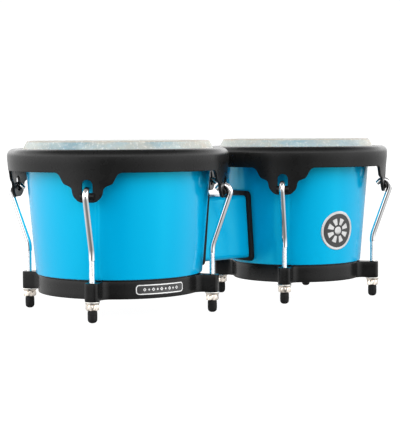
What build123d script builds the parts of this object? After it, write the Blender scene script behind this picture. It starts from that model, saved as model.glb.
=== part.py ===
from build123d import *
import os
from math import cos, pi, radians, sin, sqrt, tan

# A pair of bongo drums joined by a centre block. Millimetres, +Z up.
# +X runs from the large drum to the small one, and the badge faces -Y.
# The origin is on the floor, under the middle of the overall box.

# ---- heights shared by both drums ----
HEAD_TOP = 175.3
SKIN_THICKNESS = 1.4
COLLAR_FLARE_HEIGHT = 8.8
COLLAR_BOTTOM = 157.0
RIM_TOP = 167.4
RIM_BOTTOM = 145.4
RING_TOP = 40.0
RING_BOTTOM = 21.0
LUG_TOP = 38.8

# ---- spacing and sections ----
CENTRE_DISTANCE = 228.0
SHELL_WALL = 5.5
BEARING_EDGE_RADIUS = 6.0
RIM_WALL = 3.0
RIM_FLANGE = 12.0
RIM_SHOULDER = 7.0
FLESH_HOOP_RADIUS = 3.2
RING_WALL = 7.5
LUG_ANGLES = {"front_left": 225, "front_right": 315, "back_right": 45, "back_left": 135}
LUG_WIDTH = 13.2
LUG_REACH = 6.3
LUG_CORNER = 3.2
LUG_FILLET = 9.0

# ---- hanging ears: half outline as (sideways, height, rounding) ----
EAR_HALF = (
    (38.0, 145.4, 0), (30.5, 145.4, 7.0), (24.6, 134.6, 4.0),
    (16.2, 131.2, 4.5), (14.6, 123.0, 8.0), (8.6, 117.0, 8.5),
)
EAR_OVERLAP = 1.6
EAR_BEND = 133.0
EAR_BOTTOM = 117.0

# ---- tuning hooks, nuts and feet ----
ROD_RADIUS = 3.0
ROD_BOTTOM = 3.0
ROD_LEAN = 19.25
HOOK_DIP = 40.0
HOOK_TAIL = 4.0
SLOT_WIDTH = 11.0
SLOT_TOP = 139.0
SADDLE_RADIUS = 3.7
SADDLE_BORE = 2.0
SADDLE_WIDTH = 13.8
SADDLE_HEIGHT = 122.8
SADDLE_INSET = 1.5
LUG_BORE_RADIUS = 3.4
WASHER_RADIUS = 7.4
WASHER_THICKNESS = 1.5
NUT_FLATS = 12.0
NUT_HEIGHT = 7.0
NUT_BORE_RADIUS = 3.08
FACE_GAP = 0.05
CAP_RADIUS = 4.9
CAP_HEIGHT = 12.0

# ---- centre block and its clamp bolts ----
BLOCK_HALF_WIDTH = 24.8
BLOCK_TAPER = 0.168
BLOCK_BOTTOM = 46.6
BLOCK_TOP = 115.0
BLOCK_CORNER = 5.0
GASKET_LIP = 2.75
GASKET_BOTTOM = 43.2
GASKET_TOP = 119.5
GASKET_CORNER = 6.0
GASKET_THICKNESS = 5.5
BAR_END = 80.0
BACKING_HALF_WIDTH = 16.0
BACKING_BOTTOM = 50.0
BACKING_TOP = 113.0
BACKING_MIN = 2.0
BOLT_HEIGHTS = (62.0, 101.0)
BOLT_RADIUS = 4.0
BOLT_CLEARANCE = 0.25
BOLT_FLATS = 13.0
BOLT_HEAD = 5.3
BOLT_NUT = 6.5
BOLT_WASHER_RADIUS = 8.5
BOLT_WASHER_THICKNESS = 1.6
BOLT_TIP = 3.0

# ---- badge and label ----
BADGE_RADIUS = 21.0
BADGE_HEIGHT = 76.4
PLATE_THICKNESS = 0.8
LABEL_WIDTH = 56.0
LABEL_BOTTOM = 24.6
LABEL_TOP = 35.6


class Drum:
    """Radii of one drum, all measured from its own axis."""

    def __init__(self, name, head, rim, shell_high, shell_low, ring, rod):
        self.name = name
        self.head = head
        self.rim = rim
        self.shell_high = shell_high
        self.shell_low = shell_low
        self.ring = ring
        self.rod = rod
        self.centre = 0.0
        self.ear_face = rim - 1.9

    def shell_radius(self, height):
        taper = (self.shell_high - self.shell_low) / (RIM_BOTTOM - RING_TOP)
        return self.shell_low + taper * (height - RING_TOP)


LARGE = Drum("large", head=93.3, rim=113.5, shell_high=94.5, shell_low=85.6, ring=83.7, rod=98.0)
SMALL = Drum("small", head=81.1, rim=101.5, shell_high=80.5, shell_low=72.1, ring=70.2, rod=86.05)
OVERALL_LENGTH = LARGE.rim + CENTRE_DISTANCE + SMALL.rim
LARGE.centre = LARGE.rim - OVERALL_LENGTH / 2
SMALL.centre = OVERALL_LENGTH / 2 - SMALL.rim


# ---- shared shapes ----
def profile(corners):
    """Closed face in the radius-height plane from (radius, height, corner rounding)."""
    points = [(radius, height) for radius, height, rounding in corners]
    outline = FilletPolyline(*points, radius=[corner[2] for corner in corners], close=True)
    return Plane.XZ * make_face(outline)


def turned(corners):
    """Solid of revolution about Z."""
    return revolve(profile(corners), Axis.Z)


def at_drum(drum, shape):
    return Pos(drum.centre, 0, 0) * shape


def at_lug(drum, angle, shape):
    """Turns a shape drawn on the +X side of the drum round to one lug."""
    return at_drum(drum, Rot(0, 0, angle) * shape)


def tube(outer, inner, bottom, height):
    ring = Circle(outer) - Circle(inner)
    return Pos(0, 0, bottom) * extrude(ring, height)


def hex_piece(flats, height):
    """Hexagon prism from z = 0 up, its corners turned off at both ends."""
    corner = flats / sqrt(3)
    drop = 0.12 * corner
    prism = extrude(RegularPolygon(corner, 6), height)
    crown = turned([
        (0, 0, 0), (corner - drop, 0, 0), (corner, drop / 2, 0),
        (corner, height - drop / 2, 0), (corner - drop, height, 0), (0, height, 0),
    ])
    return prism & crown


def along_x(shape, x, height):
    """Lays a shape drawn along +Z down along +X, starting at x."""
    return Pos(x, 0, height) * Rot(0, 90, 0) * shape


def bolt_holes():
    length = CENTRE_DISTANCE
    hole = Cylinder(BOLT_RADIUS + BOLT_CLEARANCE, length)
    middle = (LARGE.centre + SMALL.centre) / 2
    return [along_x(hole, middle, height) for height in BOLT_HEIGHTS]


# ---- one drum ----
def shell(drum):
    top = HEAD_TOP - SKIN_THICKNESS - FACE_GAP
    bearing = drum.head + 1.2
    inner_high = drum.shell_radius(RIM_BOTTOM) - SHELL_WALL
    wall = turned([
        (drum.shell_low, RING_TOP, 0.8),
        (drum.shell_high, RIM_BOTTOM, 0),
        (bearing, RIM_TOP - 7, 0),
        (bearing, top, BEARING_EDGE_RADIUS),
        (bearing - 9, top, 2.5),
        (inner_high, RIM_BOTTOM, 0),
        (drum.shell_low - SHELL_WALL, RING_TOP, 0),
    ])
    return at_drum(drum, wall) - bolt_holes()


def head_skin(drum):
    flare = COLLAR_FLARE_HEIGHT / 2
    collar = drum.head + flare
    under = HEAD_TOP - SKIN_THICKNESS
    return at_drum(drum, turned([
        (0, HEAD_TOP, 0),
        (drum.head, HEAD_TOP, 3.0),
        (collar, HEAD_TOP - COLLAR_FLARE_HEIGHT, 3.0),
        (collar, COLLAR_BOTTOM, 0),
        (collar - 1.3, COLLAR_BOTTOM, 0),
        (collar - 1.3, HEAD_TOP - COLLAR_FLARE_HEIGHT - 0.55, 1.6),
        (drum.head - 0.87, under, 1.6),
        (0, under, 0),
    ]))


def flesh_hoop(drum):
    height = RIM_TOP - RIM_WALL - FLESH_HOOP_RADIUS
    section = Plane.XZ * Pos(drum.rim - 9.2, height) * Circle(FLESH_HOOP_RADIUS)
    return at_drum(drum, revolve(section, Axis.Z))


def ear(drum):
    """Hanging ear on the +X side: scalloped plate, arched slot and curled saddle."""
    face = drum.ear_face
    inside = face - RIM_WALL
    top = RIM_BOTTOM + EAR_OVERLAP
    band = turned([
        (face + 1.1, top, 0), (face + 0.1, EAR_BEND, 0), (face, EAR_BOTTOM - 2, 0),
        (inside, EAR_BOTTOM - 2, 0), (inside + 0.1, EAR_BEND, 0), (inside + 1.1, top, 0),
    ])
    band = Rot(0, 0, 180) * band  # keeps the surface seam on the far side from the ear
    left = [(-across, height, rounding) for across, height, rounding in reversed(EAR_HALF)]
    span = EAR_HALF[0][0]
    corners = list(EAR_HALF) + left + [(-span, top, 0), (span, top, 0)]
    points = [(across, height) for across, height, rounding in corners]
    outline = make_face(FilletPolyline(*points, radius=[corner[2] for corner in corners], close=True))
    arch_centre = SLOT_TOP - SLOT_WIDTH / 2
    straight = arch_centre - SADDLE_HEIGHT
    slot = Pos(0, arch_centre) * Circle(SLOT_WIDTH / 2)
    slot = slot + Pos(0, arch_centre - straight / 2) * Rectangle(SLOT_WIDTH, straight)
    through = 10 * RIM_WALL
    behind = Plane(origin=(face - through / 2, 0, 0), x_dir=(0, 1, 0), z_dir=(1, 0, 0))
    plate = (band & extrude(behind * outline, through)) - extrude(behind * slot, through)
    curl = Circle(SADDLE_RADIUS) - Circle(SADDLE_BORE)
    curl = Rot(90, 0, 0) * extrude(curl, SADDLE_WIDTH / 2, both=True)
    saddle = Pos(face - SADDLE_INSET, 0, SADDLE_HEIGHT) * curl
    outside = Pos(inside + 0.4, 0, SADDLE_HEIGHT) * Box(20, 20, 20, align=(Align.MIN, Align.CENTER, Align.CENTER))
    return plate + (saddle & outside)


def rim(drum):
    outer = drum.rim
    wall_inside = outer - RIM_WALL
    under = RIM_TOP - RIM_WALL
    band = turned([
        (outer - 0.8, RIM_BOTTOM, 0.6),
        (outer, RIM_TOP - RIM_SHOULDER - 2, 0),
        (outer, RIM_TOP, RIM_SHOULDER),
        (outer - RIM_FLANGE, RIM_TOP, 1.2),
        (outer - RIM_FLANGE, under, 0.8),
        (wall_inside, under, RIM_SHOULDER - RIM_WALL),
        (wall_inside, RIM_TOP - RIM_SHOULDER - 2, 0),
        (wall_inside - 0.8, RIM_BOTTOM, 0.6),
    ])
    for angle in LUG_ANGLES.values():
        band = band + Rot(0, 0, angle) * ear(drum)
    return at_drum(drum, band)


def bottom_ring(drum):
    lug_face = drum.rod + LUG_REACH
    lug = Pos(lug_face / 2, 0) * Rectangle(lug_face, LUG_WIDTH)
    outline = Circle(drum.ring)
    for angle in LUG_ANGLES.values():
        outline = outline + Rot(0, 0, angle) * lug
    at_face = [v for v in outline.vertices() if sqrt(v.X ** 2 + v.Y ** 2) > drum.ring + 3]
    outline = fillet(at_face, LUG_CORNER)
    at_ring = [v for v in outline.vertices() if sqrt(v.X ** 2 + v.Y ** 2) < drum.ring + 0.2]
    outline = fillet(at_ring, LUG_FILLET)
    body = Pos(0, 0, RING_BOTTOM) * extrude(outline, LUG_TOP - RING_BOTTOM)
    body = body + tube(drum.ring, drum.ring - RING_WALL, LUG_TOP - 1, RING_TOP - LUG_TOP + 1)
    lip = drum.shell_low - SHELL_WALL - 0.3
    body = body + tube(lip, drum.ring - RING_WALL, RING_TOP - 1, 6)
    body = body - Pos(0, 0, RING_TOP) * Cylinder(drum.ring - RING_WALL, 80)
    bore = Pos(drum.rod, 0, RING_TOP) * Cylinder(LUG_BORE_RADIUS, 80)
    for angle in LUG_ANGLES.values():
        body = body - Rot(0, 0, angle) * bore
    return at_drum(drum, body)


def lug_washers(drum):
    bottom = RING_BOTTOM - WASHER_THICKNESS
    washer = Pos(drum.rod, 0, 0) * tube(WASHER_RADIUS, LUG_BORE_RADIUS, bottom, WASHER_THICKNESS)
    return Compound([at_lug(drum, angle, washer) for angle in LUG_ANGLES.values()])


def tuning_nut(drum, angle):
    bottom = RING_BOTTOM - WASHER_THICKNESS - FACE_GAP - NUT_HEIGHT
    nut = hex_piece(NUT_FLATS, NUT_HEIGHT) - Cylinder(NUT_BORE_RADIUS, 4 * NUT_HEIGHT)
    return at_lug(drum, angle, Pos(drum.rod, 0, bottom) * nut)


def tuning_hook(drum, angle):
    """Round bar: upright through the lug, leaning out to the saddle, then over it and in."""
    bend = SADDLE_RADIUS + ROD_RADIUS + FACE_GAP
    bend_centre = Vector(drum.ear_face - SADDLE_INSET, 0, SADDLE_HEIGHT)
    lean = radians(ROD_LEAN)
    dip = radians(HOOK_DIP)
    leaving_lean = bend_centre + Vector(cos(lean), 0, -sin(lean)) * bend
    knee_height = leaving_lean.Z - (leaving_lean.X - drum.rod) / tan(lean)
    over_saddle = bend_centre + Vector(-sin(dip), 0, cos(dip)) * bend
    half_turn = (pi / 2 + lean + dip) / 2
    reach = bend * tan(half_turn)
    corner = over_saddle + Vector(cos(dip), 0, sin(dip)) * reach
    tip = over_saddle - Vector(cos(dip), 0, sin(dip)) * HOOK_TAIL
    foot = Vector(drum.rod, 0, ROD_BOTTOM)
    knee = Vector(drum.rod, 0, knee_height)
    path = FilletPolyline(foot, knee, corner, tip, radius=[28.0, bend])
    bar = sweep(Plane(foot, z_dir=(0, 0, 1)) * Circle(ROD_RADIUS), path=path)
    return at_lug(drum, angle, bar)


def foot_cap(drum, angle):
    """Rubber cap pushed over the end of a hook's thread."""
    cap = turned([
        (0, 0, 0), (CAP_RADIUS - 0.3, 0, 3.6), (CAP_RADIUS, 8.5, 6.0), (CAP_RADIUS - 0.4, CAP_HEIGHT, 0.6),
        (ROD_RADIUS, CAP_HEIGHT, 0), (ROD_RADIUS, ROD_BOTTOM, 0), (0, ROD_BOTTOM, 0),
    ])
    return at_lug(drum, angle, Pos(drum.rod, 0, 0) * cap)


# ---- centre block, gaskets and clamping ----
def shell_core(drum, extra):
    """Solid cone of one shell's outside, grown by extra."""
    return at_drum(drum, turned([
        (0, RING_TOP, 0), (drum.shell_low + extra, RING_TOP, 0),
        (drum.shell_high + extra, RIM_BOTTOM, 0), (0, RIM_BOTTOM, 0),
    ]))


def bar_along_x(half_width, bottom, top, corner, taper=0.0):
    """Rounded bar between the drums. Its half width is given at x = 0 and taper is the loss per mm of X."""
    wide, narrow = half_width + taper * BAR_END, half_width - taper * BAR_END
    plan = Polyline((-BAR_END, -wide), (BAR_END, -narrow), (BAR_END, narrow), (-BAR_END, wide), close=True)
    bar = extrude(Pos(0, 0, bottom) * make_face(plan), amount=top - bottom)
    long_edges = [edge for edge in bar.edges() if abs(edge.center().X) < BAR_END / 2]
    return fillet(long_edges, corner)


def center_block():
    block = bar_along_x(BLOCK_HALF_WIDTH, BLOCK_BOTTOM, BLOCK_TOP, BLOCK_CORNER, BLOCK_TAPER)
    block = block - shell_core(LARGE, GASKET_THICKNESS) - shell_core(SMALL, GASKET_THICKNESS)
    return block - bolt_holes()


def gasket(drum):
    half_width = BLOCK_HALF_WIDTH + GASKET_LIP
    pad = bar_along_x(half_width, GASKET_BOTTOM, GASKET_TOP, GASKET_CORNER, BLOCK_TAPER)
    pad = pad & shell_core(drum, GASKET_THICKNESS)
    return pad - shell_core(drum, 0) - bolt_holes()


def flat_face_x(drum):
    """Where a backing plate's flat inner face stands, along X."""
    wall = drum.shell_radius(BACKING_BOTTOM) - SHELL_WALL
    reach = sqrt(wall ** 2 - BACKING_HALF_WIDTH ** 2) - BACKING_MIN
    return drum.centre + reach if drum is LARGE else drum.centre - reach


def backing_plate(drum):
    """Wedge inside a shell: one side follows the wall, the other is flat for the washers."""
    slab = bar_along_x(BACKING_HALF_WIDTH, BACKING_BOTTOM, BACKING_TOP, 6.0)
    side = 1 if drum is LARGE else -1
    behind = Pos(flat_face_x(drum) + side * 25, 0, BACKING_TOP) * Box(50, 80, 200)
    return (slab & shell_core(drum, -SHELL_WALL) & behind) - bolt_holes()


def clamp_bolts():
    head_face = flat_face_x(LARGE) - BOLT_WASHER_THICKNESS
    tip = flat_face_x(SMALL) + BOLT_WASHER_THICKNESS + BOLT_NUT + BOLT_TIP
    shank = Pos(0, 0, BOLT_HEAD - 0.5) * extrude(Circle(BOLT_RADIUS), tip - head_face + 0.5)
    bolt = hex_piece(BOLT_FLATS, BOLT_HEAD) + chamfer(shank.edges().sort_by(Axis.Z)[-1], 0.8)
    return Compound([along_x(bolt, head_face - BOLT_HEAD, height) for height in BOLT_HEIGHTS])


def clamp_washers():
    washer = tube(BOLT_WASHER_RADIUS, BOLT_RADIUS + BOLT_CLEARANCE, 0, BOLT_WASHER_THICKNESS)
    starts = (flat_face_x(LARGE) - BOLT_WASHER_THICKNESS, flat_face_x(SMALL))
    return Compound([along_x(washer, x, height) for x in starts for height in BOLT_HEIGHTS])


def clamp_nuts():
    nut = hex_piece(BOLT_FLATS, BOLT_NUT) - Cylinder(BOLT_RADIUS + 0.05, 4 * BOLT_NUT)
    start = flat_face_x(SMALL) + BOLT_WASHER_THICKNESS
    return Compound([along_x(nut, start, height) for height in BOLT_HEIGHTS])


# ---- badge and label ----
def shell_badge():
    disc = Pos(SMALL.centre, 0, BADGE_HEIGHT) * Rot(90, 0, 0) * extrude(Circle(BADGE_RADIUS), 100)
    return (disc & shell_core(SMALL, PLATE_THICKNESS)) - shell_core(SMALL, 0)


def ring_label():
    height = LABEL_TOP - LABEL_BOTTOM
    plate = RectangleRounded(LABEL_WIDTH, height, 4.0)
    middle = (LABEL_TOP + LABEL_BOTTOM) / 2
    plate = Pos(LARGE.centre, 0, middle) * Rot(90, 0, 0) * extrude(plate, 100)
    band = at_drum(LARGE, tube(LARGE.ring + PLATE_THICKNESS, LARGE.ring, RING_BOTTOM, LUG_TOP - RING_BOTTOM))
    return plate & band


# ---- write one file per piece ----
pieces = {
    "center_block": center_block(),
    "clamp_bolts": clamp_bolts(),
    "clamp_washers": clamp_washers(),
    "clamp_nuts": clamp_nuts(),
    "shell_badge": shell_badge(),
    "ring_label": ring_label(),
}
for drum in (LARGE, SMALL):
    pieces[f"shell_{drum.name}"] = shell(drum)
    pieces[f"head_skin_{drum.name}"] = head_skin(drum)
    pieces[f"flesh_hoop_{drum.name}"] = flesh_hoop(drum)
    pieces[f"rim_{drum.name}"] = rim(drum)
    pieces[f"bottom_ring_{drum.name}"] = bottom_ring(drum)
    pieces[f"lug_washers_{drum.name}"] = lug_washers(drum)
    pieces[f"gasket_{drum.name}"] = gasket(drum)
    pieces[f"backing_plate_{drum.name}"] = backing_plate(drum)
    for place, angle in LUG_ANGLES.items():
        pieces[f"tuning_hook_{drum.name}_{place}"] = tuning_hook(drum, angle)
        pieces[f"tuning_nut_{drum.name}_{place}"] = tuning_nut(drum, angle)
        pieces[f"foot_cap_{drum.name}_{place}"] = foot_cap(drum, angle)

os.makedirs("parts", exist_ok=True)
for name, piece in pieces.items():
    export_step(piece, f"parts/{name}.step")
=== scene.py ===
import bpy
import bmesh
from math import atan2, cos, hypot, pi, radians, sin, sqrt, tan
from mathutils import Matrix, Vector, noise


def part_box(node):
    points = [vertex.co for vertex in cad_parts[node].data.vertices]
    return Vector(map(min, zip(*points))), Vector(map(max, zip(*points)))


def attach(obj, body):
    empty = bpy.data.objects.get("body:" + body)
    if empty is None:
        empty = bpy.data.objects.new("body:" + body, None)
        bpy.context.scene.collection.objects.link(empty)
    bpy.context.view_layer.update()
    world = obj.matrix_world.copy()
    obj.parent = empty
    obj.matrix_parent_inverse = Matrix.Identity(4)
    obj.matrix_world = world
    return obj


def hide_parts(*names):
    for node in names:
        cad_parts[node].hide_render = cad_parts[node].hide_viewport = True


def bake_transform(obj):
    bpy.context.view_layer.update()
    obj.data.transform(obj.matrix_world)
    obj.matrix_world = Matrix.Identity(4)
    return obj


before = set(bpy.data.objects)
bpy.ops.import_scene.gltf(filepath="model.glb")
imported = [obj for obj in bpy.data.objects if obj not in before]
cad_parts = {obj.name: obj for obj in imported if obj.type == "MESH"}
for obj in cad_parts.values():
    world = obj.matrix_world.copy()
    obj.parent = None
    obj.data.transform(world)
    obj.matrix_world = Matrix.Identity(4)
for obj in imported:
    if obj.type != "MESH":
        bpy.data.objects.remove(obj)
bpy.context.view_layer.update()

# Lengths are millimetres and angles degrees; meshes are scaled to metres as they are made.
MM = 0.001
LUGS = {"front_left": 225, "front_right": 315, "back_right": 45, "back_left": 135}
SIZES = ("large", "small")
ROUND = 240

# ---- heights and sections shared by both drums ----
RIM_BOTTOM = 145.4
RING_TOP = 40.0
LUG_TOP = 38.8
RING_WALL = 7.5
SHELL_WALL = 5.5
BEARING_RADIUS = 6.0
RIM_WALL = 3.0
RIM_FLANGE = 12.0
SADDLE_HEIGHT = 122.8
SADDLE_RADIUS = 3.7
SADDLE_WALL = 1.7
SADDLE_WIDTH = 13.8
SADDLE_INSET = 1.5
SLOT_WIDTH = 11.0
SLOT_TOP = 139.0
ROD_RADIUS = 3.0
ROD_LEAN = 19.25
HOOK_DIP = 40.0
HOOK_TAIL = 4.0
ROD_FOOT = 3.0
THREAD_PITCH = 1.0
THREAD_TOP = 61.0
THREAD_DEPTH = 0.55
NUT_FLATS = 6.0
NUT_BORE = 3.08
NUT_COLLAR = 1.3
WASHER_RADIUS = 7.4
WASHER_BORE = 3.4
BLOCK_HALF_WIDTH = 24.8
BLOCK_TAPER = 0.168
BLOCK_CORNER = 5.0
GASKET_LIP = 2.75
GASKET_CORNER = 6.0
GASKET_THICKNESS = 5.5
LUG_HALF_WIDTH = 6.6
LUG_REACH = 6.3
LUG_CORNER = 3.2
LUG_FILLET = 9.0
RIM_SHOULDER = 7.0
BAND_BOTTOM = 156.0
EAR_BOTTOM = 117.0
HIDE_THICKNESS = 1.4
EAR_HALF = [
    (38.0, RIM_BOTTOM, 0), (30.5, RIM_BOTTOM, 7.0), (24.6, 134.6, 4.0),
    (16.2, 131.2, 4.5), (14.6, 123.0, 8.0), (8.6, EAR_BOTTOM, 8.5), (0.0, EAR_BOTTOM, 0),
]


class Drum:
    """Sizes of one drum in millimetres, read from the frame."""

    def __init__(self, name):
        self.name = name
        low, high = self.corners(f"shell_{name}")
        self.centre = (low.x + high.x) / 2
        self.bearing = (high.x - low.x) / 2
        self.shell_bottom, self.shell_top = low.z, high.z
        low, high = self.corners(f"head_skin_{name}")
        self.collar = (high.x - low.x) / 2
        self.head_top = high.z
        low, high = self.corners(f"rim_{name}")
        self.rim = (high.x - low.x) / 2
        self.rim_top = high.z
        low, high = self.corners(f"bottom_ring_{name}")
        self.ring = (high.x - low.x) / 2
        self.ring_bottom = low.z
        self.shell_low = self.ring + 1.9
        self.shell_high = self.bearing if name == "large" else self.bearing - 1.8
        low, high = self.corners(f"tuning_nut_{name}_front_right")
        self.rod = hypot((low.x + high.x) / 2 - self.centre, (low.y + high.y) / 2)
        self.nut_bottom, self.nut_top = low.z, high.z
        low, high = self.corners(f"foot_cap_{name}_front_right")
        self.cap_top = high.z
        self.ear_face = self.rim - 1.9
        self.root = "drum_pair"
        self.rim_body = f"rim_assembly_{name}"

    @staticmethod
    def corners(node):
        low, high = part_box(node)
        return Vector(low) / MM, Vector(high) / MM

    def shell_radius(self, height):
        taper = (self.shell_high - self.shell_low) / (RIM_BOTTOM - RING_TOP)
        return self.shell_low + taper * (height - RING_TOP)


DRUMS = [Drum(name) for name in SIZES]


# ---- outlines ----
def arc_corner(before, corner, after, radius, steps):
    """Points of a rounded corner between two straight runs."""
    a, b = (before - corner).normalized(), (after - corner).normalized()
    half = a.angle(b) / 2
    reach = radius / tan(half)
    centre = corner + (a + b).normalized() * (radius / sin(half))
    start, end = corner + a * reach - centre, corner + b * reach - centre
    turn = start.angle_signed(end)
    points = []
    for step in range(steps + 1):
        angle = turn * step / steps
        points.append(centre + Matrix.Rotation(-angle, 2) @ start)
    return points


def rounded(corners, steps=5, closed=True):
    """Turns (across, height, rounding) corners into an outline of points."""
    points = []
    count = len(corners)
    for i, (x, y, radius) in enumerate(corners):
        corner = Vector((x, y))
        if radius == 0 or (not closed and i in (0, count - 1)):
            points.append(corner)
            continue
        before = Vector(corners[i - 1][:2])
        after = Vector(corners[(i + 1) % count][:2])
        points += arc_corner(before, corner, after, radius, steps)
    return points


# ---- meshes ----
def mesh_object(name, verts, faces, material, sharp=32):
    mesh = bpy.data.meshes.new(name)
    mesh.from_pydata([Vector(v) * MM for v in verts], [], faces)
    tidy = bmesh.new()
    tidy.from_mesh(mesh)
    bmesh.ops.remove_doubles(tidy, verts=tidy.verts, dist=1e-7)
    bmesh.ops.recalc_face_normals(tidy, faces=tidy.faces)
    tidy.to_mesh(mesh)
    tidy.free()
    mesh.shade_smooth()
    mesh.set_sharp_from_angle(angle=radians(sharp))
    mesh.materials.append(material)
    piece = bpy.data.objects.new(name, mesh)
    bpy.context.collection.objects.link(piece)
    return piece


def join_loops(loops, closed_along=False, first=0):
    """Quads between rings of equal length."""
    size = len(loops[0])
    faces = []
    last = len(loops) if closed_along else len(loops) - 1
    for i in range(last):
        a, b = first + i * size, first + ((i + 1) % len(loops)) * size
        for j in range(size):
            k = (j + 1) % size
            faces.append((a + j, a + k, b + k, b + j))
    return faces


def loft(name, loops, material, sharp=32, capped=False):
    """A closed piece from rings of equal length: the last joins the first, or both ends are capped."""
    verts = [v for ring in loops for v in ring]
    faces = join_loops(loops, closed_along=not capped)
    if capped:
        count = len(loops[0])
        faces += [tuple(range(count)), tuple(range(len(verts) - count, len(verts)))]
    return mesh_object(name, verts, faces, material, sharp)


def lathe(name, drum, outline, material, wobble=None, sharp=32):
    """Turns an outline of (radius, height) round a drum's axis."""
    loops = []
    for i in range(ROUND):
        angle = 2 * pi * i / ROUND
        ring = []
        for point in outline:
            radius, height = (point.x, point.y) if wobble is None else wobble(point.x, point.y, angle)
            ring.append((drum.centre + radius * cos(angle), radius * sin(angle), height))
        loops.append(ring)
    return loft(name, loops, material, sharp)


def on_face(drum, face_radius, across, height):
    """A point at a height on a round face of a drum, measured along it from its -Y side."""
    angle = -pi / 2 + across / face_radius
    return (drum.centre + face_radius * cos(angle), face_radius * sin(angle), height)


def at_rod(drum, lug, verts):
    """Points given about an upright axis, moved to the rod at a lug."""
    turn = Matrix.Rotation(radians(lug), 3, "Z")
    return [turn @ (Vector(v) + Vector((drum.rod, 0, 0))) + Vector((drum.centre, 0, 0)) for v in verts]


def finished(piece, body, slot, *nodes):
    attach(piece, body)
    if nodes:
        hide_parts(*nodes)
    return piece


def apply_modifiers(piece):
    depsgraph = bpy.context.evaluated_depsgraph_get()
    mesh = bpy.data.meshes.new_from_object(piece.evaluated_get(depsgraph))
    piece.modifiers.clear()
    piece.data = mesh
    return piece


# ---- materials ----
class Nodes:
    """Short ways to add shader nodes to a tree."""

    def __init__(self, owner, coordinates):
        owner.use_nodes = True
        self.tree = owner.node_tree
        self.position = self.node("ShaderNodeTexCoord").outputs[coordinates]

    def node(self, kind, **settings):
        made = self.tree.nodes.new(kind)
        for key, value in settings.items():
            setattr(made, key, value)
        return made

    def link(self, source, target):
        self.tree.links.new(source, target)

    def noise(self, scale, detail=3.0, roughness=0.5, stretch=(1, 1, 1)):
        mapping = self.node("ShaderNodeMapping")
        mapping.inputs["Scale"].default_value = stretch
        self.link(self.position, mapping.inputs["Vector"])
        made = self.node("ShaderNodeTexNoise")
        made.inputs["Scale"].default_value = scale
        made.inputs["Detail"].default_value = detail
        made.inputs["Roughness"].default_value = roughness
        self.link(mapping.outputs["Vector"], made.inputs["Vector"])
        return made.outputs["Fac"]

    def ramp(self, source, *stops):
        made = self.node("ShaderNodeValToRGB")
        ramp = made.color_ramp
        while len(ramp.elements) < len(stops):
            ramp.elements.new(0.5)
        for element, (place, color) in zip(ramp.elements, stops):
            element.position = place
            element.color = (*color, 1.0)
        self.link(source, made.inputs["Fac"])
        return made.outputs["Color"]

    def grey(self, source, low, high, start=0.3, end=0.7):
        return self.ramp(source, (start, (low,) * 3), (end, (high,) * 3))

    def mix(self, factor, a, b):
        made = self.node("ShaderNodeMix", data_type="RGBA")
        for value, socket in ((factor, 0), (a, 6), (b, 7)):
            if isinstance(value, (int, float)):
                made.inputs[socket].default_value = value
            elif isinstance(value, tuple):
                made.inputs[socket].default_value = (*value, 1.0)
            else:
                self.link(value, made.inputs[socket])
        return made.outputs[2]

    def math(self, operation, a, b=0.0):
        made = self.node("ShaderNodeMath", operation=operation)
        for value, socket in ((a, 0), (b, 1)):
            if isinstance(value, (int, float)):
                made.inputs[socket].default_value = value
            else:
                self.link(value, made.inputs[socket])
        return made.outputs[0]


class Shader(Nodes):
    """A Principled material with procedural detail."""

    def __init__(self, name, **sockets):
        self.material = bpy.data.materials.new(name)
        super().__init__(self.material, "Object")
        self.main = self.tree.nodes["Principled BSDF"]
        for socket, value in sockets.items():
            self.main.inputs[socket.replace("_", " ")].default_value = value

    def bump(self, source, strength, distance, under=None):
        made = self.node("ShaderNodeBump")
        made.inputs["Strength"].default_value = strength
        made.inputs["Distance"].default_value = distance
        self.link(source, made.inputs["Height"])
        if under is not None:
            self.link(under, made.inputs["Normal"])
        self.link(made.outputs["Normal"], self.main.inputs["Normal"])
        return made.outputs["Normal"]

    def color(self, source):
        self.link(source, self.main.inputs["Base Color"])

    def rough(self, source):
        self.link(source, self.main.inputs["Roughness"])


def blue_shell():
    """Glossy dyed plastic with faint flow marks and fine wipe scratches."""
    s = Shader("blue_gloss", IOR=1.5, Specular_IOR_Level=1.0, Specular_Tint=(0.05, 1.0, 1.0, 1.0))
    flow = s.noise(9.0, 3.0, 0.5, (1, 1, 0.25))
    s.color(s.ramp(flow, (0.3, (0.0, 0.39, 0.715)), (0.7, (0.0, 0.41, 0.74))))
    s.rough(s.grey(s.noise(140.0, 4.0), 0.12, 0.24))
    fine = s.noise(420.0, 2.0)
    low = s.bump(s.noise(55.0, 2.0), 0.06, 0.0006)
    s.bump(fine, 0.05, 0.0001, low)
    return s.material


def black_coat(name, base=0.007):
    """Satin powder coat: fine orange peel and slightly worn, uneven sheen."""
    s = Shader(name, IOR=1.5, Specular_IOR_Level=0.22)
    cloud = s.noise(30.0, 4.0)
    s.color(s.ramp(cloud, (0.3, (base,) * 3), (0.7, (base * 1.35,) * 3)))
    s.rough(s.grey(s.noise(90.0, 4.0), 0.24, 0.32))
    peel = s.bump(s.noise(900.0, 2.0), 0.05, 0.0001)
    s.bump(s.noise(160.0, 2.0), 0.03, 0.0003, peel)
    return s.material


def chrome():
    """Bright plate with a light polish grain and faint finger marks."""
    s = Shader("chrome_plate", Metallic=1.0)
    s.color(s.ramp(s.noise(60.0, 3.0), (0.3, (0.82, 0.82, 0.83)), (0.7, (0.90, 0.90, 0.90))))
    s.rough(s.grey(s.noise(90.0, 3.0), 0.025, 0.07))
    s.bump(s.noise(240.0, 2.0, 0.5, (1, 1, 0.1)), 0.012, 0.0001)
    return s.material


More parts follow.
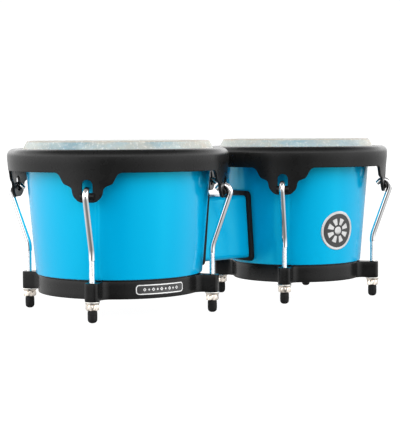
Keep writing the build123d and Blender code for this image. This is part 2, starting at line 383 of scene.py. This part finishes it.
def nickel():
    """Warm nickel plate, a little uneven in sheen."""
    s = Shader("nickel_plate", Metallic=1.0)
    s.color(s.ramp(s.noise(90.0, 3.0), (0.3, (0.80, 0.72, 0.63)), (0.7, (0.90, 0.83, 0.75))))
    s.rough(s.grey(s.noise(160.0, 3.0), 0.20, 0.30))
    s.bump(s.noise(420.0, 2.0), 0.02, 0.0001)
    return s.material


def zinc():
    """Dull white plate with fine grain."""
    s = Shader("zinc_plate", Metallic=1.0)
    s.color(s.ramp(s.noise(150.0, 4.0), (0.3, (0.68, 0.66, 0.62)), (0.7, (0.80, 0.78, 0.74))))
    s.rough(s.grey(s.noise(260.0, 4.0), 0.26, 0.48))
    s.bump(s.noise(600.0, 2.0), 0.03, 0.0001)
    return s.material


def rubber():
    """Matt rubber with a fine moulded grain."""
    s = Shader("black_rubber", IOR=1.45, Specular_IOR_Level=0.25)
    s.color(s.ramp(s.noise(80.0, 4.0), (0.3, (0.005,) * 3), (0.7, (0.009,) * 3)))
    s.rough(s.grey(s.noise(200.0, 4.0), 0.52, 0.74))
    s.bump(s.noise(1500.0, 3.0), 0.25, 0.0001)
    return s.material


def rawhide():
    """Mottled hide: beige ground and bearing line, blue-grey clouds that fade to pale beige where the hide
    turns sideways to the camera's heading (painted side light), pores and short hair flecks.
    """
    s = Shader("rawhide", IOR=1.45, Specular_IOR_Level=0.15, Subsurface_Weight=0.25, Subsurface_Scale=0.002)
    s.main.inputs["Subsurface Radius"].default_value = (1.0, 0.7, 0.45)
    broad = s.noise(11.0, 4.0, 0.6)
    ground = s.ramp(broad, (0.38, (0.48, 0.51, 0.48)), (0.52, (0.53, 0.52, 0.46)), (0.66, (0.58, 0.52, 0.43)))
    patch = s.noise(46.0, 6.0, 0.7, (0.5, 0.5, 1.6))
    blue = s.ramp(patch, (0.34, (0.19, 0.37, 0.46)), (0.62, (0.45, 0.57, 0.60)))
    cloud = s.grey(s.noise(20.0, 5.0, 0.65, (0.8, 0.8, 2.0)), 0.25, 1.0, 0.36, 0.52)
    facing = s.node("ShaderNodeSeparateXYZ")
    s.link(s.node("ShaderNodeNewGeometry").outputs["Normal"], facing.inputs[0])
    flat = s.grey(facing.outputs["Z"], 0.0, 0.5, 0.985, 0.999)
    # Painted side light: the blue-grey clouds fade to pale beige where the hide turns sideways to the
    # camera's heading (0.54, 0.84). Faces along that heading keep them fully, and the flat top keeps half.
    across = s.math(
        "ADD", s.math("MULTIPLY", facing.outputs["X"], 0.54), s.math("MULTIPLY", facing.outputs["Y"], 0.84))
    side = s.grey(s.math("ABSOLUTE", across), 0.15, 1.0, 0.30, 0.75)
    # Real cloud mottling, weakened on the sideways faces as painted side light.
    dye_with_painted_side_light = s.math("MULTIPLY", cloud, s.math("MAXIMUM", flat, side))
    base = s.mix(s.math("MULTIPLY", dye_with_painted_side_light, 0.85), ground, blue)
    rolled = s.ramp(
        facing.outputs["Z"], (0.56, (0,) * 3), (0.68, (1,) * 3), (0.985, (1,) * 3), (0.999, (0.45,) * 3))
    base = s.mix(s.math("MULTIPLY", rolled, 0.8), base, (0.47, 0.43, 0.38))
    flecks = s.grey(s.noise(520.0, 3.0, 0.6, (1, 1, 0.6)), 0.0, 1.0, 0.56, 0.66)
    base = s.mix(s.math("MULTIPLY", flecks, 0.6), base, (0.80, 0.80, 0.76))
    veins = s.grey(s.noise(34.0, 7.0, 0.75), 0.0, 1.0, 0.485, 0.5)
    base = s.mix(s.math("MULTIPLY", veins, 0.1), base, (0.30, 0.24, 0.16))
    s.color(base)
    s.rough(s.grey(s.noise(70.0, 4.0), 0.40, 0.62))
    pores = s.bump(s.noise(650.0, 4.0, 0.7), 0.35, 0.0003)
    s.bump(s.noise(60.0, 5.0), 0.25, 0.001, pores)
    return s.material


def badge_print(name):
    """Glossy black print with a thin clear coat."""
    s = Shader(name, Metallic=0.0, Roughness=0.3, Coat_Weight=0.4, Coat_Roughness=0.1)
    s.color(s.ramp(s.noise(60.0), (0.3, (0.012, 0.012, 0.013)), (0.7, (0.024, 0.024, 0.025))))
    s.bump(s.noise(900.0, 2.0), 0.08, 0.0001)
    return s.material


def silver_print(name, bright=0.62):
    """Satin metallic print."""
    s = Shader(name, Metallic=0.75, Roughness=0.34)
    s.color(s.ramp(s.noise(180.0, 4.0), (0.3, (bright * 0.9,) * 3), (0.7, (bright * 1.1,) * 3)))
    s.rough(s.grey(s.noise(300.0, 4.0), 0.26, 0.44))
    s.bump(s.noise(900.0, 2.0, 0.5, (1, 1, 0.1)), 0.06, 0.0001)
    return s.material


BLUE = blue_shell()
BLACK = black_coat("black_powder_coat")
CAST = black_coat("black_cast_coat", 0.006)
CHROME = chrome()
NICKEL = nickel()
ZINC = zinc()
RUBBER = rubber()
HIDE = rawhide()
BADGE_BLACK = badge_print("badge_black")
SILVER = silver_print("badge_silver")
WHITE_PRINT = silver_print("label_white", 0.85)


# ---- shells and heads ----
def make_shell(drum):
    inner_high = drum.shell_high - SHELL_WALL
    outline = rounded([
        (drum.shell_low, drum.shell_bottom, 0.9),
        (drum.shell_high, RIM_BOTTOM, 0),
        (drum.bearing, drum.rim_top - 7, 0),
        (drum.bearing, drum.shell_top, BEARING_RADIUS),
        (drum.bearing - 9, drum.shell_top, 2.5),
        (inner_high, RIM_BOTTOM, 0),
        (drum.shell_low - SHELL_WALL, drum.shell_bottom, 0.9),
    ], steps=8)
    finished(lathe(f"shell_{drum.name}_visual", drum, outline, BLUE), drum.root, "blue_shell",
             f"shell_{drum.name}")


def make_head(drum):
    """Hide: flat top, rounded bearing line, flaring collar, then tucked round the hoop."""
    top = drum.head_top
    corner = drum.collar - 4.4
    hoop = drum.rim - 9.2
    hoop_height = drum.rim_top - RIM_WALL - 3.2
    outside = [(radius, top, 0) for radius in (0.2, corner * 0.2, corner * 0.45, corner * 0.7, corner * 0.9)]
    outside += [(corner, top, 3.0), (drum.collar - 0.2, top - 8.6, 4.0), (hoop - 1.0, hoop_height + 2.4, 1.0)]
    outline = rounded(outside, steps=8, closed=False)
    outline += [Vector((hoop - 3.6, hoop_height - 1.2)), Vector((hoop - 4.6, hoop_height + 0.6))]
    outline += rounded([
        (drum.collar - 1.5, top - 9.2, 0), (drum.collar - 1.5, top - 9.2, 0),
        (corner - 0.87, top - HIDE_THICKNESS, 1.6), (corner * 0.9, top - HIDE_THICKNESS, 0),
        (0.2, top - HIDE_THICKNESS, 0),
    ], steps=6, closed=False)[1:]

    def uneven(radius, height, angle):
        """The hide dries slightly wavy where it flares, and its top stays flat."""
        flare = max(0.0, min(1.0, (top - 1.5 - height) / 6.0))
        probe = Vector((3.2 * cos(angle), 3.2 * sin(angle), drum.centre * 0.01 + height * 0.02))
        ripple = noise.noise(probe * 2.6) * 0.28 + noise.noise(probe * 7.0) * 0.14
        sag = 0.05 * noise.noise(Vector((radius * cos(angle), radius * sin(angle), 0)) * 0.05)
        return radius + flare * ripple, height + sag - 0.06

    piece = lathe(f"head_{drum.name}_visual", drum, outline, HIDE, wobble=uneven, sharp=50)
    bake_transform(piece)
    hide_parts(f"head_skin_{drum.name}")


# ---- rims ----
def ear_edge():
    """Lower edge of the rim across one ear, as (sideways, height) from left to right."""
    right = rounded(EAR_HALF, steps=8, closed=False)
    points = []
    for a, b in zip(right, right[1:]):
        parts = max(1, int((a - b).length / 1.6))
        points += [a.lerp(b, i / parts) for i in range(parts)]
    left = [Vector((-p.x, p.y)) for p in points]
    return left + [Vector((0.0, EAR_BOTTOM))] + points[::-1]


def outer_face(drum, height):
    """Outer radius of the rim and its ears at a height below the shoulder."""
    ladder = [(115.0, drum.ear_face), (133.0, drum.ear_face + 0.1), (147.0, drum.ear_face + 1.1),
              (BAND_BOTTOM, drum.rim)]
    for (low, a), (high, b) in zip(ladder, ladder[1:]):
        if height <= high:
            return a + (b - a) * (height - low) / (high - low)
    return drum.rim


def rim_section(drum, bottom):
    """Closed section of the rim whose lower edge is at bottom."""
    under = drum.rim_top - RIM_WALL
    shoulder = rounded([
        (drum.rim, BAND_BOTTOM, 0), (drum.rim, drum.rim_top, RIM_SHOULDER),
        (drum.rim - RIM_FLANGE, drum.rim_top, 1.3), (drum.rim - RIM_FLANGE, under, 1.2),
        (drum.rim - RIM_WALL, under, RIM_SHOULDER - RIM_WALL), (drum.rim - RIM_WALL, BAND_BOTTOM - 1, 0),
    ], steps=9, closed=False)
    start, rows = BAND_BOTTOM - 3, 12
    inside, outside = [], []
    for i in range(rows + 1):
        height = start + (bottom + 0.9 - start) * i / rows
        face = outer_face(drum, height)
        outside.append(Vector((face, height)))
        inside.append(Vector((face - RIM_WALL, height)))
    face = outer_face(drum, bottom)
    lip = rounded([
        (face - RIM_WALL, bottom + 1.0, 0), (face - RIM_WALL, bottom, 0.9),
        (face, bottom, 0.9), (face, bottom + 1.0, 0),
    ], steps=4, closed=False)[1:-1]
    return shoulder + inside + lip + outside[::-1]


def make_rim(drum):
    edge = ear_edge()
    span = edge[-1].x / drum.ear_face
    between = 26
    stations = []
    for lug in sorted(LUGS.values()):
        middle = radians(lug)
        stations += [(middle + p.x / drum.ear_face, p.y) for p in edge]
        gap = pi / 2 - 2 * span
        stations += [(middle + span + gap * i / between, RIM_BOTTOM) for i in range(1, between)]
    loops = []
    for angle, bottom in stations:
        section = rim_section(drum, bottom)
        loops.append([(drum.centre + p.x * cos(angle), p.x * sin(angle), p.y) for p in section])
    piece = loft(f"rim_{drum.name}_visual", loops, BLACK, 40)
    cut_slots(piece, drum)
    finished(piece, drum.rim_body, "black_steel", f"rim_{drum.name}")
    for place, lug in LUGS.items():
        make_saddle(drum, place, lug)


def cut_slots(piece, drum):
    """Cuts the arched hook slot through each ear."""
    arch = SLOT_TOP - SLOT_WIDTH / 2
    outline = [(SLOT_WIDTH / 2, SADDLE_HEIGHT), (-SLOT_WIDTH / 2, SADDLE_HEIGHT)]
    for i in range(17):
        angle = pi * i / 16
        outline.append((-SLOT_WIDTH / 2 * cos(angle), arch + SLOT_WIDTH / 2 * sin(angle)))
    verts, faces = [], []
    for lug in LUGS.values():
        first = len(verts)
        turn = Matrix.Rotation(radians(lug), 3, "Z")
        for radius in (drum.ear_face - 9, drum.ear_face + 9):
            verts += [turn @ Vector((radius, x, z)) + Vector((drum.centre, 0, 0)) for x, z in outline]
        count = len(outline)
        faces += join_loops([outline, outline], first=first)
        faces.append(tuple(range(first, first + count)))
        faces.append(tuple(range(first + count, first + 2 * count)))
    cutter = mesh_object("slot_cutter", verts, faces, BLACK)
    cut = piece.modifiers.new("slots", "BOOLEAN")
    cut.operation, cut.solver, cut.object = "DIFFERENCE", "EXACT", cutter
    apply_modifiers(piece)
    piece.data.set_sharp_from_angle(angle=radians(40))
    bpy.data.objects.remove(cutter)


def make_saddle(drum, place, lug):
    """Curled lip under the slot that the hook hangs on."""
    middle = SADDLE_RADIUS - SADDLE_WALL / 2
    half, thick = SADDLE_WIDTH / 2, SADDLE_WALL / 2
    section = rounded([
        (thick, half, 0.6), (-thick, half, 0.6), (-thick, -half, 0.6), (thick, -half, 0.6),
    ], steps=4)
    turn = Matrix.Rotation(radians(lug), 3, "Z")
    loops = []
    steps = 28
    for i in range(steps + 1):
        angle = radians(-104 + 208 * i / steps)
        ring = []
        for p in section:
            radius = middle + p.x
            out = drum.ear_face - SADDLE_INSET + radius * cos(angle)
            spot = Vector((out, p.y, SADDLE_HEIGHT + radius * sin(angle)))
            ring.append(turn @ spot + Vector((drum.centre, 0, 0)))
        loops.append(ring)
    piece = loft(f"saddle_{drum.name}_{place}", loops, BLACK, capped=True)
    finished(piece, drum.rim_body, "black_steel")


# ---- hooks, nuts and feet ----
def hook_path(drum):
    """Centre line of a hook in the plane through the lug, as (radius, height) points."""
    bend = SADDLE_RADIUS + ROD_RADIUS + 0.05
    middle = Vector((drum.ear_face - SADDLE_INSET, SADDLE_HEIGHT))
    lean, dip = radians(ROD_LEAN), radians(HOOK_DIP)
    tangent = middle + Vector((cos(lean), -sin(lean))) * bend
    knee = Vector((drum.rod, tangent.y - (tangent.x - drum.rod) / tan(lean)))
    over = middle + Vector((-sin(dip), cos(dip))) * bend
    points = [Vector((drum.rod, ROD_FOOT))]
    points += arc_corner(points[0], knee, tangent, 28.0, 8)
    arc = pi / 2 + lean + dip
    for i in range(21):
        angle = -lean + arc * i / 20
        points.append(middle + Vector((cos(angle), sin(angle))) * bend)
    points.append(over - Vector((cos(dip), sin(dip))) * HOOK_TAIL)
    return points


def make_hook(drum, place, lug):
    """Round bar with a rolled thread on its upright part."""
    path = hook_path(drum)
    around, per_pitch = 20, 6
    top = min(THREAD_TOP, path[1].y)
    rows = [Vector((drum.rod, ROD_FOOT + i * THREAD_PITCH / per_pitch))
            for i in range(int((top - ROD_FOOT) * per_pitch / THREAD_PITCH))]
    spots = rows + [p for p in path if p.y > top + 0.2]
    turn = Matrix.Rotation(radians(lug), 3, "Z")
    loops = []
    for i, spot in enumerate(spots):
        before, after = spots[max(i - 1, 0)], spots[min(i + 1, len(spots) - 1)]
        along = (after - before).normalized()
        across = Vector((along.y, -along.x))
        end = 0.6 if i in (0, len(spots) - 1) else 0.0
        fade = min(1.0, (len(rows) - i) / per_pitch) if i < len(rows) else 0.0
        ring = []
        for j in range(around):
            angle = 2 * pi * j / around
            radius = ROD_RADIUS - end
            if fade > 0:
                wave = (spot.y / THREAD_PITCH - j / around) % 1.0
                radius -= fade * THREAD_DEPTH * abs(2 * wave - 1)
            flat = spot + across * (radius * cos(angle))
            ring.append(turn @ Vector((flat.x, radius * sin(angle), flat.y)) + Vector((drum.centre, 0, 0)))
        loops.append(ring)
    piece = loft(f"hook_{drum.name}_{place}", loops, CHROME, 50, capped=True)
    finished(piece, drum.rim_body, "chrome", f"tuning_hook_{drum.name}_{place}")


def turned_at_rod(name, drum, lug, outline, material):
    """Turns an outline of (radius, height) round the rod at a lug."""
    loops = []
    for i in range(40):
        angle = 2 * pi * i / 40
        ring = [(p.x * cos(angle), p.x * sin(angle), p.y) for p in outline]
        loops.append(at_rod(drum, lug, ring))
    return loft(name, loops, material, 35)


def make_nut(drum, place, lug):
    """Hexagon nut with turned chamfers and a round collar that meets the washer."""
    flats, bore = NUT_FLATS, NUT_BORE
    low, high = drum.nut_bottom, drum.nut_top
    shelf = high - NUT_COLLAR
    rows = [
        (low, bore + 0.5, True), (low, flats * 0.93, True), (low + 0.25, flats * 1.0, True),
        (low + 0.9, flats * 1.16, False), (shelf - 0.9, flats * 1.16, False),
        (shelf - 0.25, flats, True), (shelf, flats * 0.94, True),
        (shelf, flats * 1.08, True), (high - 0.2, flats * 1.12, True),
        (high, flats * 1.09, True), (high, bore, True), (low + 0.5, bore, True),
    ]
    around = 72
    loops = []
    for height, radius, is_round in rows:
        ring = []
        for j in range(around):
            angle = 2 * pi * j / around
            offset = (angle + pi / 6) % (pi / 3) - pi / 6
            hexagon = flats / cos(offset)
            turned = is_round and radius <= flats or height > shelf - 0.01
            reach = radius if turned else min(radius, hexagon)
            ring.append((reach * cos(angle), reach * sin(angle), height))
        loops.append(at_rod(drum, lug, ring))
    piece = loft(f"nut_{drum.name}_{place}", loops, NICKEL, 28)
    finished(piece, f"nut_{drum.name}_{place}", "nickel", f"tuning_nut_{drum.name}_{place}")


def make_cap(drum, place, lug):
    """Rubber foot with a rounded end, a moulding line and a rolled top lip."""
    top = drum.cap_top
    bore = ROD_RADIUS + 0.05
    outline = rounded([
        (0.05, 0.0, 0), (4.6, 0.0, 3.6), (4.82, 7.4, 2.0), (4.6, 7.8, 0.3), (4.82, 8.2, 0.6),
        (4.55, top, 0.9), (bore, top, 0.4), (bore, ROD_FOOT + 0.1, 0), (0.05, ROD_FOOT + 0.1, 0),
    ], steps=6)
    piece = turned_at_rod(f"cap_{drum.name}_{place}", drum, lug, outline, RUBBER)
    finished(piece, drum.rim_body, "rubber", f"foot_cap_{drum.name}_{place}")


def make_washers(drum):
    """Four flat washers; the first stands in for the one node that holds them all."""
    low, high = Drum.corners(f"lug_washers_{drum.name}")
    outline = rounded([
        (WASHER_BORE, low.z, 0.2), (WASHER_RADIUS, low.z, 0.5),
        (WASHER_RADIUS, high.z, 0.5), (WASHER_BORE, high.z, 0.2),
    ], steps=4)
    replaced = [f"lug_washers_{drum.name}"]
    for place, lug in LUGS.items():
        piece = turned_at_rod(f"washer_{drum.name}_{place}", drum, lug, outline, ZINC)
        finished(piece, drum.root, "zinc_steel", *replaced)
        replaced = []


# ---- bottom ring ----
def ring_plan(drum):
    """Outline of the ring and its four lugs seen from above, about the drum's axis."""
    reach = drum.rod + LUG_REACH
    half = LUG_HALF_WIDTH
    fillet = LUG_FILLET
    root = Vector((sqrt((drum.ring + fillet) ** 2 - (half + fillet) ** 2), half + fillet))
    bend = atan2(root.y, root.x)
    lug = []
    for i in range(9):
        angle = pi + bend + (pi / 2 - bend) * i / 8
        lug.append(root + Vector((cos(angle), sin(angle))) * fillet)
    corner = Vector((reach - LUG_CORNER, half - LUG_CORNER))
    for i in range(7):
        angle = pi / 2 - pi / 2 * i / 6
        lug.append(corner + Vector((cos(angle), sin(angle))) * LUG_CORNER)
    lug.reverse()
    side = [Vector((reach, y)) for y in (0.0, 1.7)]
    upper = side + lug
    lower = [Vector((p.x, -p.y)) for p in upper[1:]][::-1]
    one = lower + upper
    outline = []
    between = 20
    for place in sorted(LUGS.values()):
        turn = Matrix.Rotation(radians(place), 2)
        outline += [turn @ p for p in one]
        gap = pi / 2 - 2 * bend
        for i in range(1, between):
            angle = radians(place) + bend + gap * i / between
            outline.append(Vector((cos(angle), sin(angle))) * drum.ring)
    return outline


def shrink(outline, distance):
    """Moves every point of a closed outline inward by distance."""
    moved = []
    for i, p in enumerate(outline):
        along = (outline[(i + 1) % len(outline)] - outline[i - 1]).normalized()
        moved.append(p + Vector((-along.y, along.x)) * distance)
    return moved


def make_ring(drum):
    plan = ring_plan(drum)
    bottom, top = drum.ring_bottom, LUG_TOP
    edge, steps = 0.7, 4
    inner = drum.ring - RING_WALL
    loops = []

    def level(outline, height):
        loops.append([(drum.centre + p.x, p.y, height) for p in outline])

    def circle(radius, height):
        level([p.normalized() * radius for p in plan], height)

    circle(inner, RING_TOP + 5)
    circle(inner, bottom + 0.8)
    circle(inner + 0.8, bottom)
    for i in range(steps + 1):
        angle = pi / 2 * i / steps
        level(shrink(plan, edge * (1 - sin(angle))), bottom + edge * (1 - cos(angle)))
    for i in range(1, 4):
        level(plan, bottom + edge + (top - bottom - 2 * edge) * i / 4)
    for i in range(steps + 1):
        angle = pi / 2 * i / steps
        level(shrink(plan, edge * (1 - cos(angle))), top - edge * (1 - sin(angle)))
    circle(drum.ring - 0.6, top)
    circle(drum.ring - 0.6, RING_TOP)
    tongue = drum.shell_low - SHELL_WALL - 0.4
    circle(tongue, RING_TOP)
    circle(tongue, RING_TOP + 5.4)
    circle(tongue - 0.6, RING_TOP + 6)
    circle(inner + 0.6, RING_TOP + 6)
    piece = loft(f"ring_{drum.name}", loops, CAST, 35)
    finished(piece, drum.root, "black_cast", f"bottom_ring_{drum.name}")


# ---- centre block and gaskets ----
def rounded_box(half_width, bottom, top, radius):
    return rounded([
        (half_width, bottom, radius), (half_width, top, radius),
        (-half_width, top, radius), (-half_width, bottom, radius),
    ], steps=8)


def densify(outline, step):
    """Splits the sides of a closed outline into parts about as long as step."""
    points = []
    for i, a in enumerate(outline):
        b = outline[(i + 1) % len(outline)]
        parts = max(1, int((b - a).length / step))
        points += [a.lerp(b, k / parts) for k in range(parts)]
    return points


def on_shell(drum, p, extra, half_width, taper):
    """Where a line along X through (y, z) = p meets a shell grown by extra; y shrinks with the taper."""
    side = 1 if drum.name == "large" else -1
    radius = drum.shell_radius(p.y) + extra
    x, y = 0.0, p.x
    for _ in range(8):
        y = p.x * (1 - taper * x / half_width)
        x = drum.centre + side * sqrt(radius ** 2 - y ** 2)
    return Vector((x, y, p.y))


def bridge(name, outline, start, end, material, edge):
    """Sweeps an outline along X between two surfaces, with softened ends."""
    middle = sum(outline, Vector((0, 0))) / len(outline)
    fractions = [0.0, 0.0, 0.0, 0.25, 0.5, 0.75, 1.0, 1.0, 1.0]
    inset = [edge, edge * 0.3, 0, 0, 0, 0, 0, edge * 0.3, edge]
    push = [0, edge * 0.3, edge, 0, 0, 0, -edge, -edge * 0.3, 0]
    loops = []
    for fraction, inward, shift in zip(fractions, inset, push):
        ring = shrink(outline, inward) if inward else outline
        loops.append([start(p).lerp(end(p), fraction) + Vector((shift, 0, 0)) for p in ring])
    rows = [[middle + (p - middle) * part for p in shrink(outline, edge)] for part in (0.02, 0.25, 0.6)]
    loops = [[start(p) for p in row] for row in rows] + loops + [[end(p) for p in row] for row in rows[::-1]]
    return loft(name, loops, material, 35, capped=True)


def make_block():
    large, small = DRUMS
    low, high = Drum.corners("center_block")
    half = BLOCK_HALF_WIDTH
    outline = densify(rounded_box(half, low.z, high.z, BLOCK_CORNER), 4.0)
    piece = bridge("block_visual", outline,
                   lambda p: on_shell(large, p, GASKET_THICKNESS, half, BLOCK_TAPER),
                   lambda p: on_shell(small, p, GASKET_THICKNESS, half, BLOCK_TAPER), BLUE, 0.5)
    finished(piece, large.root, "blue_shell", "center_block")
    wide = half + GASKET_LIP
    for drum, sign in ((large, 1), (small, -1)):
        low, high = Drum.corners(f"gasket_{drum.name}")
        outline = densify(rounded_box(wide, low.z, high.z, GASKET_CORNER), 4.0)
        ends = [lambda p, d=drum: on_shell(d, p, 0.0, wide, BLOCK_TAPER),
                lambda p, d=drum: on_shell(d, p, GASKET_THICKNESS, wide, BLOCK_TAPER)]
        piece = bridge(f"gasket_{drum.name}_visual", outline, *ends[::sign], RUBBER, 0.9)
        finished(piece, drum.root, "rubber", f"gasket_{drum.name}")


# ---- badge and label ----
def polar_relief(name, drum, height, profile, material, around=96, start=0.0, sweep=2 * pi):
    """Ring-shaped relief on the shell from (radius, lift) points."""
    whole = sweep >= 2 * pi - 1e-6
    loops = []
    for i in range(around if whole else around + 1):
        angle = start + sweep * i / around
        ring = []
        for radius, lift in profile:
            level = height + radius * sin(angle)
            ring.append(on_face(drum, drum.shell_radius(level) + lift, radius * cos(angle), level))
        loops.append(ring)
    return loft(name, loops, material, 30, capped=not whole)


def make_badge():
    """Round black badge with a silver border, eight rays and a hub."""
    drum = DRUMS[1]
    low, high = Drum.corners("shell_badge")
    height, radius = (low.z + high.z) / 2, (high.z - low.z) / 2
    disc = [(0.05, 0.55), (radius * 0.4, 0.55), (radius - 3.4, 0.5), (radius - 0.6, 0.45),
            (radius - 0.2, 0.3), (radius - 0.2, 0.0), (radius * 0.5, 0.0), (0.05, 0.0)]
    plate = polar_relief("badge_plate", drum, height, disc, BADGE_BLACK)
    finished(plate, drum.root, "badge_print", "shell_badge")
    border = [(radius - 2.9, 0.4), (radius - 2.7, 0.7), (radius - 0.5, 0.75),
              (radius - 0.1, 0.5), (radius - 0.1, 0.2)]
    finished(polar_relief("badge_border", drum, height, border, SILVER), drum.root, "badge_print")
    ray, half = [(6.2, 0.5), (6.4, 0.72), (13.2, 0.72), (13.4, 0.5)], radians(13)
    for i in range(8):
        start = radians(45 * i + 22.5) - half
        piece = polar_relief(f"badge_ray_{i}", drum, height, ray, SILVER, 8, start, 2 * half)
        finished(piece, drum.root, "badge_print")
    hub = [(0.05, 0.72), (2.2, 0.78), (4.0, 0.7), (4.3, 0.5), (0.05, 0.5)]
    finished(polar_relief("badge_hub", drum, height, hub, SILVER, 48), drum.root, "badge_print")


def strip_on_ring(name, drum, outline, thick, width, material):
    """A raised line of the given width along a closed (along, up) outline on the ring."""
    loops = []
    for a, b in zip(outline, shrink(outline, width)):
        section = ((a, 0.0), (a, thick), (b, thick), (b, 0.0))
        loops.append([on_face(drum, drum.ring + lift, p.x, p.y) for p, lift in section])
    return loft(name, loops, material, 30)


def make_label():
    """Outlined plate on the ring with a row of large and small diamonds."""
    drum = DRUMS[0]
    low, high = Drum.corners("ring_label")
    half = (high.x - low.x) / 2
    plan = densify(rounded([
        (-half, low.z, 4.0), (half, low.z, 4.0), (half, high.z, 4.0), (-half, high.z, 4.0),
    ], steps=6), 1.5)
    middle = (low.z + high.z) / 2
    loops = []
    back = [(0.02, 0.0), (0.4, 0.0), (0.7, 0.0), (1.0, 0.0)]
    front = [(1.0, 0.35), (0.985, 0.5), (0.7, 0.5), (0.4, 0.5), (0.02, 0.5)]
    for scale, lift in back + front:
        face = drum.ring + lift
        loops.append([on_face(drum, face, p.x * scale, middle + (p.y - middle) * scale) for p in plan])
    plate = loft("label_plate", loops, BADGE_BLACK, 35, capped=True)
    finished(plate, drum.root, "label_print", "ring_label")
    border = shrink(plan, 0.7)
    finished(strip_on_ring("label_border", drum, border, 0.7, 0.9, WHITE_PRINT), drum.root, "label_print")
    for i in range(-4, 5):
        size = 1.7 if i % 2 == 0 else 1.1
        x = i * 4.6
        diamond = densify([Vector((x - size, middle)), Vector((x, middle - size)), Vector((x + size, middle)),
                           Vector((x, middle + size))], 0.6)
        piece = strip_on_ring(f"label_mark_{i + 4}", drum, diamond, 0.68, 0.55, WHITE_PRINT)
        finished(piece, drum.root, "label_print")


# ---- build every piece ----
for drum in DRUMS:
    make_shell(drum)
    make_head(drum)
    make_rim(drum)
    make_ring(drum)
    make_washers(drum)
    for place, lug in LUGS.items():
        make_hook(drum, place, lug)
        make_nut(drum, place, lug)
        make_cap(drum, place, lug)
make_block()
make_badge()
make_label()

CAD_FINISH = {
    "clamp_bolts": ZINC, "clamp_washers": ZINC, "clamp_nuts": ZINC,
    "backing_plate_large": CAST, "backing_plate_small": CAST,
    "flesh_hoop_large": ZINC, "flesh_hoop_small": ZINC,
}
for node, material in CAD_FINISH.items():
    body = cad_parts[node]
    body.data.materials.clear()
    body.data.materials.append(material)


# ---- stage, light and camera ----
CAMERA_HEADING = 32.87


def make_stage():
    """Pale floor and a white dome behind everything that only the camera sees."""
    s = Shader("studio_floor", Roughness=0.9)
    s.color(s.ramp(s.noise(2.0, 1.0), (0.3, (0.08,) * 3), (0.7, (0.09,) * 3)))
    s.main.inputs["Emission Color"].default_value = (1, 1, 1, 1)
    s.main.inputs["Emission Strength"].default_value = 0.96
    corners = [(x * 7000, y * 7000, -0.4) for x, y in ((-1, -1), (1, -1), (1, 1), (-1, 1))]
    floor = mesh_object("studio_floor", corners, [(0, 1, 2, 3)], s.material)
    floor.visible_diffuse = floor.visible_glossy = False
    white = Shader("studio_white", Roughness=1.0)
    white.main.inputs["Base Color"].default_value = (0, 0, 0, 1)
    white.main.inputs["Emission Color"].default_value = (1, 1, 1, 1)
    white.main.inputs["Emission Strength"].default_value = 1.05
    bpy.ops.mesh.primitive_uv_sphere_add(segments=48, ring_count=24, radius=11.0)
    dome = bpy.context.active_object
    dome.name = "studio_dome"
    dome.data.materials.append(white.material)
    dome.visible_diffuse = dome.visible_glossy = dome.visible_transmission = dome.visible_shadow = False


# Brightness of the room by height of the direction, then by degrees from the camera's side to the right.
ROOM = {
    -0.6: [(-180, 0.4), (-90, 0.4), (-45, 0.3), (0, 0.2), (45, 0.15), (90, 0.2), (180, 0.4)],
    -0.18: [(-180, 0.2), (-140, 0.8), (-105, 1.1), (-75, 1.5), (-50, 1.8), (-32, 0.9), (-15, 0.0), (8, 0.1),
            (22, 0.7), (50, 1.2), (64, 1.6), (78, 1.1), (105, 0.9), (140, 0.4), (180, 0.2)],
    0.02: [(-180, 0.8), (-140, 1.2), (-105, 1.7), (-75, 2.1), (-50, 2.3), (-32, 1.2), (-15, 0.1), (8, 0.15),
           (22, 0.8), (50, 1.6), (64, 2.2), (78, 1.8), (105, 1.6), (140, 1.1), (180, 0.8)],
    0.27: [(-180, 2.4), (-120, 3.2), (-75, 4.0), (-40, 3.2), (0, 3.0), (40, 3.4), (75, 4.0), (120, 3.3),
           (180, 2.4)],
    0.8: [(-180, 0.1), (-90, 0.4), (0, 0.3), (90, 0.3), (180, 0.1)],
}
PEAK = 4.0


def make_light():
    """A room that is dark behind the camera and bright at both sides, laid out round the drums."""
    world = bpy.data.worlds.new("studio")
    bpy.context.scene.world = world
    w = Nodes(world, "Generated")
    turned = w.node("ShaderNodeMapping")
    turned.inputs["Rotation"].default_value = (0, 0, radians(CAMERA_HEADING + 90))
    w.link(w.position, turned.inputs["Vector"])
    parts = w.node("ShaderNodeSeparateXYZ")
    w.link(turned.outputs["Vector"], parts.inputs[0])
    angle = w.math("ARCTAN2", parts.outputs["Y"], parts.outputs["X"])
    around = w.math("ADD", w.math("MULTIPLY", angle, 1 / (2 * pi)), 0.5)
    sky, below = None, None
    for height, levels in ROOM.items():
        band = w.ramp(around, *[((turn + 180) / 360, (level / PEAK,) * 3) for turn, level in levels])
        if sky is None:
            sky = band
        else:
            blend = w.node("ShaderNodeMapRange")
            blend.inputs["From Min"].default_value = below
            blend.inputs["From Max"].default_value = height
            w.link(parts.outputs["Z"], blend.inputs["Value"])
            sky = w.mix(blend.outputs["Result"], sky, band)
        below = height
    background = world.node_tree.nodes["Background"]
    w.link(sky, background.inputs["Color"])
    background.inputs["Strength"].default_value = PEAK


def make_camera():
    """Level with the drums and a little above them, from the large drum's side."""
    data = bpy.data.cameras.new("camera")
    camera = bpy.data.objects.new("camera", data)
    bpy.context.collection.objects.link(camera)
    data.lens = 106.63
    data.sensor_width = 36.0
    data.clip_start, data.clip_end = 0.05, 50
    heading, pitch, roll = radians(CAMERA_HEADING), radians(4.056), radians(0.303)
    forward = Vector((sin(heading) * cos(pitch), cos(heading) * cos(pitch), -sin(pitch)))
    camera.location = Vector((-778.1, -1191.1, 185.8)) * MM
    camera.rotation_mode = "QUATERNION"
    level = forward.to_track_quat("-Z", "Y")
    camera.rotation_quaternion = Matrix.Rotation(roll, 3, forward).to_quaternion() @ level
    bpy.context.scene.camera = camera


make_stage()
make_light()
make_camera()
bpy.context.scene.view_settings.view_transform = "Standard"
